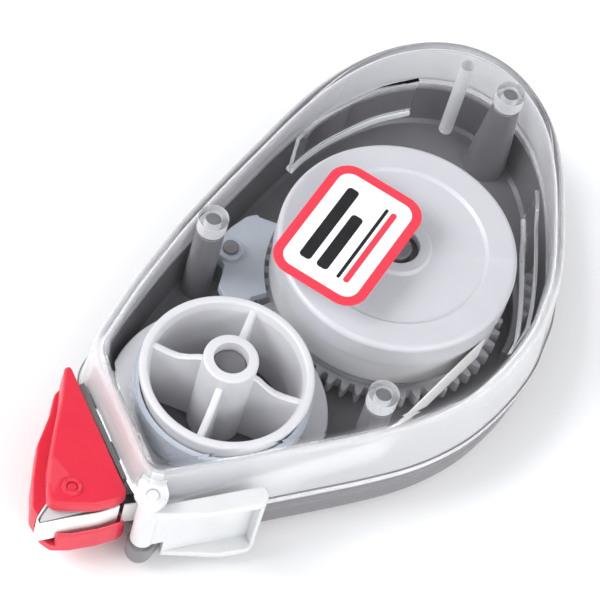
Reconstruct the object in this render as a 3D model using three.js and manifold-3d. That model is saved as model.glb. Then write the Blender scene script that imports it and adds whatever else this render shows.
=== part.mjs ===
// Correction tape roller: a dark tray and a clear cover around a geared pair of
// spools, with a red nose that carries the applicator tip and a hinged tip cap.
// Millimetres, +Z up. The origin is the supply spool's axis on the bottom face,
// +X points to the round end, -X to the nose, and the case lies flat.
import * as THREE from "three";
import { mergeVertices } from "three/addons/utils/BufferGeometryUtils.js";
import Module from "manifold-3d";

const wasm = await Module();
wasm.setup();

// ---------------------------------------------------------------- dimensions
const TAKEUP_X = -28.5;          // take-up axis, from the supply axis
const MODULE = 0.6;              // gear module
const SUPPLY_TEETH = 51;
const TAKEUP_TEETH = 44;
const FLOOR = 1.3;               // tray floor thickness
const WALL = 1.3;                // wall thickness of tray and cover
const TRAY_TOP = 7.5;            // parting line, tray side
const COVER_LOW = 7.8;           // parting line, cover side
const COVER_TOP = 18.75;         // outside of the cover's plate
const PLATE = 1.2;               // cover plate thickness
const TAPE_Z0 = 6.8;             // tape and film edges
const TAPE_Z1 = 11.0;
const TAPE_T = 0.16;             // drawn thickness of the tape and film
const ROLL_R = 14.9;             // full tape roll
const DRUM_R = 10.1;             // take-up drum
const DISC_R = 13.75;            // take-up disc over its gear
const FLANGE_R = 15.2;           // supply flange
const POST_S = 1.9;              // supply post radius
const POST_T = 2.1;              // take-up post radius
const RUN = 0.06;                // running clearance, radial
const GAP = 0.3;                 // gap between touching pieces
const SNAPS = [[-17.2, 15.9], [-17.4, -15.1], [26.5, 7.1]];
const SNAP_R = 1.9;              // snap tube outside radius
const SNAP_Z = 15.3;             // lower end of the snap tubes
const HINGE = [-48.0, -8.0];     // tip cap hinge axis
const PIVOT = [-53.3, -0.2];     // applicator tip pivot axis
const ROLLER = [-45.4, -5.4];    // front guide roller axis
const ROLLER_R = 1.2;
const PAWL = [-12.9, 15.3];      // backstop pawl pivot axis
const NOSE_Z0 = 4.0;             // nose housing height
const NOSE_Z1 = 13.1;

// ------------------------------------------------------------------- helpers
function solid(geo) {
  const g = geo.index ? geo.toNonIndexed() : geo.clone();
  for (const a of Object.keys(g.attributes)) if (a !== "position") g.deleteAttribute(a);
  const m = mergeVertices(g, 1e-5);
  const v = Float32Array.from(m.attributes.position.array);
  const t = Uint32Array.from(m.index.array);
  return new wasm.Manifold(new wasm.Mesh({ numProp: 3, vertProperties: v, triVerts: t }));
}
function geometry(man) {
  const m = man.getMesh();
  const g = new THREE.BufferGeometry();
  g.setAttribute("position", new THREE.BufferAttribute(Float32Array.from(m.vertProperties), 3));
  g.setIndex(Array.from(m.triVerts));
  const n = g.toNonIndexed();
  n.computeVertexNormals();
  return n;
}
function union(list) { return list.reduce((a, b) => a.add(b)); }

// closed stack of equal-length rings, each an array of [x, y] at one height
function stack(rings) {
  const n = rings[0].pts.length, pos = [], put = (p, z) => pos.push(p[0], p[1], z);
  for (let k = 0; k + 1 < rings.length; k++) {
    const a = rings[k], b = rings[k + 1];
    for (let i = 0; i < n; i++) {
      const j = (i + 1) % n;
      put(a.pts[i], a.z); put(a.pts[j], a.z); put(b.pts[j], b.z);
      put(a.pts[i], a.z); put(b.pts[j], b.z); put(b.pts[i], b.z);
    }
  }
  const cap = (ring, up) => {
    const c = ring.pts.map(p => new THREE.Vector2(p[0], p[1]));
    for (const f of THREE.ShapeUtils.triangulateShape(c, [])) {
      const o = up ? f : [f[0], f[2], f[1]];
      for (const i of o) put(ring.pts[i], ring.z);
    }
  };
  cap(rings[0], false);
  cap(rings[rings.length - 1], true);
  const g = new THREE.BufferGeometry();
  g.setAttribute("position", new THREE.BufferAttribute(Float32Array.from(pos), 3));
  return solid(g);
}
const area = pts => pts.reduce((s, p, i) => {
  const q = pts[(i + 1) % pts.length];
  return s + p[0] * q[1] - q[0] * p[1];
}, 0) / 2;
const ccw = pts => (area(pts) < 0 ? pts.slice().reverse() : pts);
function prism(pts, z0, z1) {
  const p = ccw(pts).filter((a, i, all) => {
    const b = all[(i + 1) % all.length];
    return Math.hypot(a[0] - b[0], a[1] - b[1]) > 2e-3;
  });
  return stack([{ pts: p, z: z0 }, { pts: p, z: z1 }]);
}
function circle(r, n, cx = 0, cy = 0, phase = 0) {
  return Array.from({ length: n }, (_, i) => {
    const a = phase + (i / n) * 2 * Math.PI;
    return [cx + r * Math.cos(a), cy + r * Math.sin(a)];
  });
}
const rod = (r, z0, z1, n = 32, x = 0, y = 0) => prism(circle(r, n, x, y), z0, z1);
function ringOf(r0, r1, z0, z1, n = 64, x = 0, y = 0) {
  return lathe([[r0, z0], [r1, z0], [r1, z1], [r0, z1]], n, x, y);
}
// turned body: a closed profile of [radius, height] clear of the axis, or one
// that starts and ends on it
function lathe(profile, n = 64, x = 0, y = 0) {
  const closed = profile[0][0] > 1e-6;
  const pts = profile.map(p => new THREE.Vector2(p[0], p[1]));
  if (closed) pts.push(pts[0].clone());
  const g = new THREE.LatheGeometry(pts, n);
  g.rotateX(Math.PI / 2);
  let m = solid(g);
  if (m.volume() < 0 || m.isEmpty()) {
    pts.reverse();
    const h = new THREE.LatheGeometry(pts, n);
    h.rotateX(Math.PI / 2);
    m = solid(h);
  }
  return m.translate([x, y, 0]);
}
// polygon moved inwards by d (outwards when negative)
function inset(pts, d) {
  const n = pts.length;
  return pts.map((p, i) => {
    const a = pts[(i + n - 1) % n], b = pts[(i + 1) % n];
    const e1 = [p[0] - a[0], p[1] - a[1]], e2 = [b[0] - p[0], b[1] - p[1]];
    const l1 = Math.hypot(...e1), l2 = Math.hypot(...e2);
    const n1 = [-e1[1] / l1, e1[0] / l1], n2 = [-e2[1] / l2, e2[0] / l2];
    let m = [n1[0] + n2[0], n1[1] + n2[1]];
    const l = Math.hypot(...m);
    m = [m[0] / l, m[1] / l];
    const c = Math.max(0.35, m[0] * n1[0] + m[1] * n1[1]);
    return [p[0] + (m[0] * d) / c, p[1] + (m[1] * d) / c];
  });
}
function smoothClosed(ctrl, n) {
  const c = new THREE.CatmullRomCurve3(ctrl.map(p => new THREE.Vector3(p[0], p[1], 0)), true, "centripetal");
  return c.getSpacedPoints(n).slice(0, n).map(p => [p.x, p.y]);
}
// polygon with rounded corners: corners are [x, y, radius]
function rounded(corners, steps = 5) {
  const out = [], n = corners.length;
  for (let i = 0; i < n; i++) {
    const a = corners[(i + n - 1) % n], p = corners[i], b = corners[(i + 1) % n];
    const r = p[2] || 0;
    if (!r) { out.push([p[0], p[1]]); continue; }
    const u = [a[0] - p[0], a[1] - p[1]], v = [b[0] - p[0], b[1] - p[1]];
    const lu = Math.hypot(...u), lv = Math.hypot(...v);
    u[0] /= lu; u[1] /= lu; v[0] /= lv; v[1] /= lv;
    const half = Math.acos(Math.max(-1, Math.min(1, u[0] * v[0] + u[1] * v[1]))) / 2;
    const t = Math.min(r / Math.tan(half), lu * 0.49, lv * 0.49);
    const rr = t * Math.tan(half);
    const m = [u[0] + v[0], u[1] + v[1]], lm = Math.hypot(...m);
    const d = rr / Math.sin(half);
    const c = [p[0] + (m[0] / lm) * d, p[1] + (m[1] / lm) * d];
    const s = [p[0] + u[0] * t, p[1] + u[1] * t], e = [p[0] + v[0] * t, p[1] + v[1] * t];
    const a0 = Math.atan2(s[1] - c[1], s[0] - c[0]);
    let a1 = Math.atan2(e[1] - c[1], e[0] - c[0]);
    while (a1 - a0 > Math.PI) a1 -= 2 * Math.PI;
    while (a1 - a0 < -Math.PI) a1 += 2 * Math.PI;
    for (let k = 0; k <= steps; k++) {
      const w = a0 + ((a1 - a0) * k) / steps;
      out.push([c[0] + rr * Math.cos(w), c[1] + rr * Math.sin(w)]);
    }
  }
  return out;
}
// the same closed polygon with n evenly spaced points
function even(pts, n) {
  const m = pts.length, len = [0], out = [];
  pts.forEach((p, i) => {
    const q = pts[(i + 1) % m];
    len.push(len[i] + Math.hypot(p[0] - q[0], p[1] - q[1]));
  });
  for (let k = 0, i = 0; k < n; k++) {
    const d = (len[m] * k) / n;
    while (len[i + 1] < d) i++;
    const f = (d - len[i]) / (len[i + 1] - len[i] || 1), p = pts[i], q = pts[(i + 1) % m];
    out.push([p[0] + (q[0] - p[0]) * f, p[1] + (q[1] - p[1]) * f]);
  }
  return out;
}
// flat strip standing on edge along a path
function ribbon(path, t, z0, z1) {
  const L = [], R = [];
  path.forEach((p, i) => {
    const a = path[Math.max(0, i - 1)], b = path[Math.min(path.length - 1, i + 1)];
    const d = [b[0] - a[0], b[1] - a[1]], l = Math.hypot(...d);
    const nx = (-d[1] / l) * t / 2, ny = (d[0] / l) * t / 2;
    L.push([p[0] + nx, p[1] + ny]);
    R.push([p[0] - nx, p[1] - ny]);
  });
  return prism(L.concat(R.reverse()), z0, z1);
}
// line touching two circles on the same side; side +1 is the right of travel
function tangent(c0, r0, c1, r1, side) {
  const d = [c1[0] - c0[0], c1[1] - c0[1]], l = Math.hypot(...d);
  const base = Math.atan2(d[1], d[0]), off = Math.acos((r0 - r1) / l);
  const a = base + side * off;
  return [[c0[0] + r0 * Math.cos(a), c0[1] + r0 * Math.sin(a)],
          [c1[0] + r1 * Math.cos(a), c1[1] + r1 * Math.sin(a)]];
}
function arc(c, r, p, q, steps, dir) {
  const a0 = Math.atan2(p[1] - c[1], p[0] - c[0]);
  let a1 = Math.atan2(q[1] - c[1], q[0] - c[0]);
  if (dir > 0) while (a1 < a0) a1 += 2 * Math.PI;
  else while (a1 > a0) a1 -= 2 * Math.PI;
  return Array.from({ length: steps + 1 }, (_, k) => {
    const w = a0 + ((a1 - a0) * k) / steps;
    return [c[0] + r * Math.cos(w), c[1] + r * Math.sin(w)];
  });
}
function gearOutline(teeth, toothAngle) {
  const pr = (MODULE * teeth) / 2, tip = pr + 0.55, root = pr - 0.75, p = (2 * Math.PI) / teeth, out = [];
  for (let i = 0; i < teeth; i++) {
    const c = toothAngle + i * p;
    for (const [r, k] of [[root, -0.31], [tip, -0.115], [tip, 0.115], [root, 0.31]])
      out.push([r * Math.cos(c + k * p), r * Math.sin(c + k * p)]);
  }
  return out;
}

// ------------------------------------------------------------- case outline
// outer edge of the cover's plate; the parting line stands 1.1 mm proud of it
const EDGE = rounded([
  [-40.4, 11.9, 3.2], [-42.2, 9.0, 4.0], [-47.7, -6.6, 2.6], [-42.4, -9.17, 0],
  [-38.0, -11.3, 0], [-29.8, -15.2, 0], [-26.3, -16.85, 0], [-21.8, -18.9, 0], [-16.9, -20.85, 0],
  [-12.7, -21.95, 0], [-8.3, -22.5, 0], [-3.6, -22.3, 0], [0.9, -21.6, 0], [5.4, -20.3, 0],
  [11.2, -17.3, 0], [15.6, -13.8, 0], [19.9, -9.6, 0], [23.3, -6.0, 0], [26.1, -2.4, 0],
  [28.1, 1.1, 0], [29.3, 4.8, 0], [29.75, 8.6, 0], [29.2, 12.2, 0], [27.6, 15.6, 0],
  [25.0, 18.4, 0], [21.6, 20.6, 0], [17.2, 22.2, 0], [12.2, 23.0, 0], [6.6, 23.0, 0],
  [0.9, 22.35, 0], [-5.0, 21.3, 0], [-11.2, 20.2, 0], [-16.5, 19.15, 0], [-21.6, 18.0, 0],
  [-27.3, 16.4, 0], [-31.9, 15.0, 0], [-36.4, 13.35, 0],
], 4);
const OUT = (() => {            // even, smooth run of points round the outline
  const knots = [];
  EDGE.forEach((p, i) => {
    const q = EDGE[(i + 1) % EDGE.length];
    knots.push(p);
    if (Math.hypot(p[0] - q[0], p[1] - q[1]) > 6) knots.push([(p[0] + q[0]) / 2, (p[1] + q[1]) / 2]);
  });
  return ccw(even(smoothClosed(knots, 1440), 76));
})();
const at = d => inset(OUT, d);

// ---------------------------------------------------------------- materials
const mat = (hex, roughness, metalness = 0, extra = {}) =>
  new THREE.MeshStandardMaterial({ color: new THREE.Color(hex), roughness, metalness, ...extra });
const SMOKE = mat(0x55545a, 0.38), CLEAR = mat(0xe6e8ea, 0.12, 0, { transparent: true, opacity: 0.35 });
const WHITE = mat(0xeeeef2, 0.42), REEL = mat(0xd6d6dc, 0.4), RED = mat(0xe8385a, 0.36);
const FROST = mat(0xeceef0, 0.35, 0, { transparent: true, opacity: 0.8 }), TAPE = mat(0xf4f4f2, 0.75);
const FILM = mat(0xc9d2dc, 0.3), STEEL = mat(0xb9bbbf, 0.3, 0.9), DARK = mat(0x34343a, 0.45);

const root = new THREE.Group();
function piece(name, man, material) {
  const parts = man.decompose ? man.decompose() : [man];
  const mesh = new THREE.Mesh(geometry(parts.length > 1 ? man : man), material.clone());
  mesh.name = name;
  root.add(mesh);
  return man;
}

// --------------------------------------------------------------- openings
// mouth where the tape leaves and the film returns, and the window of the neck;
// NF runs in the front's own frame: s along the nose's back edge, t outwards
const NF = (s, t) => [-46.2 + 0.3105 * s - 0.9505 * t, 1.4 + 0.9505 * s + 0.3105 * t];
const mouth = prism([[-50.6, -12.0], [-43.4, -10.2], [-42.9, -0.7], [-50.6, -0.7]], 5.8, 11.8);
const window_ = prism([NF(1.1, -5), NF(5.8, -5), NF(5.8, 1), NF(1.1, 1)], 5.9, 11.5);
const hingeNotch = rod(2.0, 5.6, 14.95, 20, ...HINGE);

// -------------------------------------------------------------- base shell
{
  let tray = stack([
    { pts: at(1.3), z: 0 }, { pts: at(0.5), z: 0.35 }, { pts: at(-0.45), z: 2.1 }, { pts: at(-1.0), z: TRAY_TOP },
  ]);
  const cavity = stack([
    { pts: at(1.6), z: FLOOR }, { pts: at(WALL - 0.4), z: 2.4 }, { pts: at(WALL - 1.0), z: TRAY_TOP + 1 },
  ]);
  tray = tray.subtract(cavity);
  // relief in the near wall beside the take-up gear
  tray = tray.subtract(rod(13.99, 1.9, 5.9, 56, TAKEUP_X, 0));
  // hinge barrel at the near front corner, with a rounded lower end
  const barrel = lathe([[0, 1.5], [0.9, 1.6], [1.45, 2.0], [1.7, 2.8], [1.7, 5.3], [0, 5.3]], 20, ...HINGE);
  const ear = prism([[-48.4, -6.6], [-45.9, -5.6], [-44.2, -9.0], [-47.4, -9.3]], 2.0, 5.3);
  tray = union([tray, barrel, ear]);
  tray = tray.subtract(mouth).subtract(window_).subtract(hingeNotch);
  tray = tray.subtract(rod(0.85, 3.2, 6.2, 20, ...HINGE));
  // spool posts on low shoulders
  tray = union([tray,
    lathe([[0, 0.6], [3.4, 0.6], [3.4, 1.95], [POST_S, 1.95], [POST_S, 15.0], [0, 15.0]], 32),
    lathe([[0, 0.6], [3.4, 0.6], [3.4, 1.95], [POST_T, 1.95], [POST_T, 15.4], [0, 15.4]], 32, TAKEUP_X, 0),
  ]);
  // tall columns whose pegs enter the cover's snap tubes
  SNAPS.forEach(([x, y], i) => {
    const foot = i === 2 ? [2.8, 2.4, 1.75] : [1.9, 1.85, 1.8];
    tray = tray.add(lathe([[0, 0.6], [foot[0], 0.6], [foot[1], 7.35], [foot[2], SNAP_Z - 0.4], [1.0, SNAP_Z - 0.4], [1.0, 17.2], [0, 17.2]], 20, x, y));
  });
  // pawl post, roller post and low fence ribs that stiffen the floor
  tray = tray.add(lathe([[0, 0.6], [1.7, 0.6], [1.7, 4.95], [1.0, 4.95], [1.0, 7.9], [0, 7.9]], 20, ...PAWL));
  tray = tray.add(lathe([[0, 0.6], [1.5, 0.6], [1.5, 5.7], [0.6, 5.7], [0.6, 11.6], [0, 11.6]], 20, ...ROLLER));
  const rib = (r, a0, a1) => arc([0, 0], r, [r * Math.cos(a0), r * Math.sin(a0)], [r * Math.cos(a1), r * Math.sin(a1)], 10, 1);
  tray = tray.add(ribbon(rib(18.2, 0.42, 1.25), 0.9, 0.7, 4.6));
  tray = tray.add(ribbon(rib(17.4, -1.2, -0.35), 0.9, 0.7, 4.6));
  piece("base_shell", tray, SMOKE);
}

// -------------------------------------------------------------- cover shell
{
  let cover = stack([
    { pts: at(-1.1), z: COVER_LOW }, { pts: at(-1.1), z: 8.9 }, { pts: at(-0.8), z: 9.2 },
    { pts: at(-0.05), z: 17.0 }, { pts: at(0.3), z: 18.2 }, { pts: at(1.1), z: COVER_TOP },
  ]);
  const cavity = stack([
    { pts: at(WALL - 1.05), z: COVER_LOW - 1 }, { pts: at(WALL - 0.1), z: 16.6 }, { pts: at(WALL + 0.5), z: COVER_TOP - PLATE },
  ]);
  cover = cover.subtract(cavity);
  // snap tubes hang from the plate over the tray's columns
  for (const [x, y] of SNAPS) cover = cover.add(ringOf(1.0 + RUN, SNAP_R, SNAP_Z, COVER_TOP - 0.6, 20, x, y));
  // vertical rib at the round end and two curved fins beside the supply reel
  cover = cover.add(rod(0.9, 3.2, COVER_TOP - 0.6, 12, 25.0, 13.6));
  const farFin = [[-0.7, 18.3], [1.8, 18.7], [5.2, 18.75], [8.8, 18.4], [13.6, 17.55], [18.2, 15.8]];
  const nearFin = [[18.7, -5.5], [17.1, -7.15], [14.8, -9.2], [12.0, -12.0], [9.0, -14.8], [6.1, -17.2], [3.3, -19.2]];
  cover = cover.add(ribbon(farFin, 0.6, 9.9, COVER_TOP - 0.6));
  cover = cover.add(ribbon(nearFin, 0.6, 9.9, COVER_TOP - 0.6));
  // upper hinge lug above the cap's knuckle
  cover = cover.add(prism(rounded([[-49.5, -6.3, 1.2], [-49.7, -9.4, 1.4], [-46.7, -9.6, 1.4], [-44.9, -6.4, 0], [-46.6, -4.6, 0]], 4), 15.1, 16.7));
  cover = cover.subtract(mouth).subtract(window_).subtract(hingeNotch);
  cover = cover.subtract(rod(0.85, 14.0, 17.2, 20, ...HINGE));
  piece("cover_shell", cover, CLEAR);
}

// ------------------------------------------------------------- cover label
{
  const a = (16 * Math.PI) / 180, u = [Math.cos(a), Math.sin(a)], v = [-u[1], u[0]];
  const c = [-5.9, 3.8], w = 9.4, h = 6.5;
  const p = (s, t, r) => [c[0] + s * u[0] + t * v[0], c[1] + s * u[1] + t * v[1], r];
  piece("cover_label", prism(rounded([p(-w, -h, 3), p(w, -h, 3), p(w, h, 3), p(-w, h, 3)], 6), COVER_TOP + 0.02, COVER_TOP + 0.16), WHITE);
}

// ------------------------------------------------------------ supply spool
{
  const teeth = prism(gearOutline(SUPPLY_TEETH, Math.PI), 2.4, 4.4);
  let gear = union([teeth,
    rod(14.2, 3.2, 5.2, 48),
    ringOf(12.2, 14.0, 5.0, 6.35, 48),
    rod(4.4, 2.2, 12.5, 32)]);
  gear = gear.subtract(ringOf(5.6, 12.0, 1.0, 2.9, 32));
  gear = gear.subtract(rod(POST_S + RUN, 1.0, 14.0, 32));
  piece("supply_gear", gear, REEL);

  const c0 = 0.25, spring = [];
  const outer = [], inner = [];
  for (let k = 0; k <= 30; k++) {
    const w = c0 + ((2 * Math.PI - 2 * c0) * k) / 30, wave = 0.14 * Math.cos(5 * w);
    outer.push([(5.55 + wave) * Math.cos(w), (5.55 + wave) * Math.sin(w)]);
    inner.push([(5.05 + wave) * Math.cos(w), (5.05 + wave) * Math.sin(w)]);
  }
  piece("clutch_spring", prism(outer.concat(inner.reverse()), 7.2, 11.6), STEEL);

  piece("supply_core", lathe([[6.2, 6.75], [7.6, 6.75], [7.6, 12.5], [6.2, 12.5]], 40), WHITE);
  piece("correction_tape_roll", lathe([[7.9, TAPE_Z0], [ROLL_R, TAPE_Z0], [ROLL_R, TAPE_Z1], [7.9, TAPE_Z1]], 72), TAPE);
  piece("supply_flange", lathe([
    [2.7, 14.1], [6.3, 14.1], [6.3, 12.85], [7.5, 12.85], [7.5, 14.1], [14.1, 14.1], [14.1, 11.35],
    [FLANGE_R, 11.35], [FLANGE_R, 15.0], [14.8, 15.4], [11.0, 15.4], [10.7, 15.0], [4.1, 15.0], [3.9, 15.5], [2.7, 15.5],
  ], 56), REEL);
}

// ----------------------------------------------------------- take-up spool
{
  const teeth = prism(gearOutline(TAKEUP_TEETH, Math.PI / TAKEUP_TEETH), 2.2, 4.7);
  let spool = union([teeth,
    rod(DISC_R, 4.6, 5.6, 48),
    lathe([[8.9, 5.0], [DRUM_R, 5.0], [DRUM_R, 12.5], [10.75, 12.9], [10.75, 13.5], [10.5, 13.8], [8.9, 13.8]], 48),
    rod(3.4, 2.2, 16.8, 32)]);
  // wells between the spokes are open right through
  spool = spool.subtract(rod(8.9, 1.0, 6.0, 48).subtract(rod(3.4, 0.5, 7, 32)));
  for (let k = 0; k < 4; k++) {
    const w = [118, 28, 298, 208][k] * Math.PI / 180;
    const prof = [[2.6, 2.4], [9.4, 2.4], [9.4, 13.3], [6.2, 12.9], [3.6, 14.6], [2.6, 14.6]];
    // blade standing on edge, thicker below than above
    const sh = new THREE.Shape(prof.map(p => new THREE.Vector2(p[0], p[1])));
    const g = new THREE.ExtrudeGeometry(sh, { depth: 1.1, bevelEnabled: false });
    g.translate(0, 0, -0.55);
    g.rotateX(Math.PI / 2);
    g.rotateZ(w);
    spool = spool.add(solid(g));
  }
  spool = spool.subtract(rod(POST_T + RUN, 1.0, 18.0, 32));
  piece("takeup_spool", spool.translate([TAKEUP_X, 0, 0]), WHITE);
  piece("used_film_wrap", ringOf(DRUM_R + GAP, 11.1, TAPE_Z0, TAPE_Z1, 56, TAKEUP_X, 0), FILM);
}

// ------------------------------------------------------------ backstop pawl
{
  const edge = arc([0, 0], 15.4, [15.4 * Math.cos(1.9), 15.4 * Math.sin(1.9)], [15.4 * Math.cos(2.6), 15.4 * Math.sin(2.6)], 12, 1);
  const plate = prism(edge.concat([[-15.6, 8.4], [-17.2, 9.2], [-17.9, 10.7], [-17.4, 12.4], [-16.0, 13.3], [-14.7, 14.3], [-14.4, 16.2], [-13.0, 17.4], [-10.4, 17.9], [-7.6, 17.9], [-6.0, 17.2]]), 5.25, 6.55);
  // finger under the plate, its point just clear of the tooth tips
  const a = 2.42, f = (r, w) => [r * Math.cos(w), r * Math.sin(w)];
  const finger = prism([f(16.02, a), f(16.9, a - 0.05), f(17.9, a - 0.03), f(17.9, a + 0.07), f(16.9, a + 0.05)], 2.7, 5.6);
  let pawl = union([plate, finger, rod(1.7, 5.25, 7.3, 24, ...PAWL)]);
  pawl = pawl.subtract(rod(1.0 + RUN, 4.0, 9.0, 24, ...PAWL));
  piece("backstop_pawl", pawl, FROST);
}

// ------------------------------------------------------- nose and its neck
const NOSE = rounded([
  [-42.4, 13.5, 0.45], [-48.5, -4.75, 1.0], [-50.2, -4.75, 1.2], [-52.6, -3.7, 3], [-55.2, -1.6, 2], [-56.9, -0.1, 1.1],
  [-55.3, 1.9, 2], [-52.9, 4.3, 3], [-49.8, 7.0, 4], [-46.4, 9.8, 3],
], 5);
// the lower half is broader than the upper one
const NOSE_LOW = rounded([
  [-43.1, 12.4, 0.6], [-48.9, -5.5, 0.8], [-49.9, -5.5, 1.0], [-52.3, -4.65, 3], [-55.3, -3.15, 2], [-56.9, -1.9, 0.8], [-57.2, -0.6, 0.8],
  [-56.6, 2.0, 1.5], [-54.1, 4.8, 3], [-50.6, 8.1, 4], [-46.8, 10.3, 3], [-44.5, 12.1, 0.7],
], 5);
{
  const N = ccw(even(NOSE, 72)), n = d => inset(N, d), L = ccw(even(NOSE_LOW, 84)), low = d => inset(L, d);
  // open channel through the nose: closed on the far side, open at the near side and the tip
  const hollow = (z0, z1) => prism([
    [-60, -9], [-41.5, -9], [-41.5, 8.6], [-44.0, 8.2], [-46.2, 7.2], [-48.9, 5.4], [-51.8, 3.3],
    [-53.4, 2.1], [-53.9, 3.9], [-60, 3.9]], z0, z1);
  let lower = stack([
    { pts: low(0.1), z: NOSE_Z0 }, { pts: low(-0.35), z: NOSE_Z0 + 0.4 }, { pts: low(-0.35), z: 7.6 }, { pts: low(-0.2), z: 8.4 }]);
  // thin wall in front of the tape on the near side
  const fence = prism(low(-0.6), 4.2, 8.5).subtract(prism(low(0.05), 4, 9))
    .intersect(prism([[-56.2, -7], [-49.35, -7], [-49.35, -4], [-56.2, -1]], 4, 9));
  lower = lower.subtract(hollow(5.7, 9).subtract(fence));
  let upper = stack([
    { pts: n(-0.1), z: 8.7 }, { pts: n(0.0), z: 12.3 }, { pts: n(0.1), z: 12.8 }, { pts: n(0.3), z: NOSE_Z1 }]);
  upper = upper.subtract(hollow(8, 11.4));
  // pegs of the lower half pass through the neck's tongue
  for (const [x, y] of [[-46.2, 5.2], [-47.6, 2.5]]) {
    lower = lower.add(rod(0.8, 5.0, 11.1, 20, x, y));
  }
  // bosses for the tip's pivot pin
  upper = upper.add(rod(1.25, 11.0, NOSE_Z1 + 0.12, 28, ...PIVOT));
  lower = lower.add(rod(1.25, 4.6, 6.1, 28, ...PIVOT));
  const pinHole = rod(0.72, 4.9, 13.6, 24, ...PIVOT);
  upper = upper.subtract(pinHole);
  lower = lower.subtract(pinHole);
  piece("nose_lower_cheek", lower, RED);
  piece("nose_upper_cheek", upper, RED);

  let neck = union([
    prism([NF(0.4, -3.9), NF(6.6, -3.9), NF(6.6, -2.3), NF(0.4, -2.3)], 6.1, 12.6),
    prism([NF(1.5, -2.6), NF(5.4, -2.6), NF(5.4, 0.6), NF(1.5, 0.6)], 6.25, 11.1),
    prism(rounded([[...NF(0, 0.1), 0.3], [...NF(0, 3.3), 0.6], [-48.8, 4.6, 0.6], [-46.3, 6.5, 0.5], [...NF(5.7, 0.1), 0.3]], 3), 6.0, 11.1)]);
  for (const [x, y] of [[-46.2, 5.2], [-47.6, 2.5]]) neck = neck.subtract(rod(0.88, 5.0, 13.0, 20, x, y));
  piece("nose_neck", neck, DARK);
}

// ----------------------------------------------------- applicator tip, pin
const tapeIn = tangent([0, 0], ROLL_R + GAP, SNAPS[1], SNAP_R + GAP + 0.1, 1);
const TIP = [-58.15, -0.55];
{
  // wedge between the tape side and the film side, with a hub on the pivot pin
  const wedge = rounded([
    [-58.15, -0.75, 0], [-58.2, -0.5, 0], [-57.7, -0.2, 0], [-54.0, 0.95, 0.8], [-51.8, 0.55, 0.8], [-49.4, -1.4, 0.6], [-49.1, -4.45, 0.6]], 3);
  let blade = union([prism(wedge, 6.5, 10.75), rod(1.15, 6.4, 10.7, 28, ...PIVOT)]);
  blade = blade.subtract(rod(0.7 + RUN, 5.0, 12.0, 24, ...PIVOT));
  piece("applicator_tip", blade, FROST);
  piece("tip_pivot_pin", rod(0.7, 5.0, 13.1, 24, ...PIVOT), STEEL);
}

// --------------------------------------------------------- tape and film
{
  const r = ROLLER_R + GAP, g = SNAP_R + GAP + 0.1;
  const s = tapeIn;
  const m = tangent(SNAPS[1], g, ROLLER, r, 1);
  const end = [-49.0, -5.05];
  const k = tangent(ROLLER, r, end, 0.001, 1);
  const feed = [s[0], ...arc(SNAPS[1], g, s[1], m[0], 6, -1), ...arc(ROLLER, r, m[1], k[0], 4, -1), end];
  piece("tape_feed_run", ribbon(feed, TAPE_T, TAPE_Z0, TAPE_Z1), TAPE);

  // loop over the tip, moving with it
  const loop = [[-49.45, -4.75], [-52.0, -3.97], [-55.0, -2.5], [-58.3, -0.95], [-58.5, -0.62], [-58.3, -0.18],
    [-57.7, 0.12], [-54.3, 1.3], [-53.6, 1.42], [-52.9, 1.3], [-51.5, 0.8], [-50.3, -0.05]];
  piece("tape_tip_loop", ribbon(loop, TAPE_T, 6.65, 10.85), TAPE);

  const wrap = 11.1 + GAP;
  const t = tangent([-49.9, -0.35], 0.001, [TAKEUP_X, 0], wrap, -1);
  piece("film_return_run", ribbon([[-49.9, -0.35], t[1]], TAPE_T, TAPE_Z0, TAPE_Z1), FILM);

  piece("front_guide_roller", ringOf(0.6 + RUN, ROLLER_R, 6.0, 11.3, 20, ...ROLLER), WHITE);
}

// ------------------------------------------------------------------ tip cap
{
  const a = (-25.7 * Math.PI) / 180, U = [Math.cos(a), Math.sin(a)], V = [Math.sin(a), -Math.cos(a)];
  const P = (u, v, r) => [HINGE[0] + u * U[0] + v * V[0], HINGE[1] + u * U[1] + v * V[1], r];
  const Z0 = 2.6, Z1 = 14.7, T = 0.95, W = 0.6;
  const flange = ccw(rounded([P(2.3, 0.5, 0), P(14.1, 0.5, 1.0), P(14.1, 2.2, 1.3), P(12.8, 3.1, 1.3), P(9.2, 3.0, 3.0), P(2.3, 1.2, 0.3)], 5));
  const top = ccw(rounded([P(-1.2, 0.4, 0.8), P(14.1, 0.5, 1.0), P(14.1, 2.2, 1.3), P(12.8, 3.1, 1.3), P(6.4, 3.0, 3.0), P(2.3, 2.2, 0), P(-1.0, 1.4, 0.8)], 5));
  let cap = union([
    prism(flange, Z0, Z0 + T),
    prism(top, Z1 - T, Z1),
    // web against the case wall and the closed far end
    prism([P(0.4, 0.53), P(13.3, 0.53), P(13.3, 0.53 + W), P(0.4, 0.53 + W)], 5.95, Z1 - 0.2),
    prism([P(2.4, 0.53), P(13.3, 0.53), P(13.3, 0.53 + W), P(2.4, 0.53 + W)], Z0 + 0.2, 6.2),
    prism([P(13.15, 0.57), P(13.5, 0.66), P(13.8, 0.98), P(13.97, 1.4), P(13.97, 2.1), P(13.15, 2.75)], Z0 + 0.2, Z1 - 0.2),
    rod(1.45, 5.95, Z1, 28, ...HINGE)]);
  cap = cap.subtract(rod(0.8 + RUN, 1.0, 16.0, 24, ...HINGE));
  piece("tip_cap", cap, FROST);
  piece("cap_hinge_pin", rod(0.8, 3.3, 16.6, 24, ...HINGE), STEEL);
}

export default root;
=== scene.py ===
import math

import bmesh
import bpy
from mathutils import Matrix, Vector, kdtree


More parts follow.
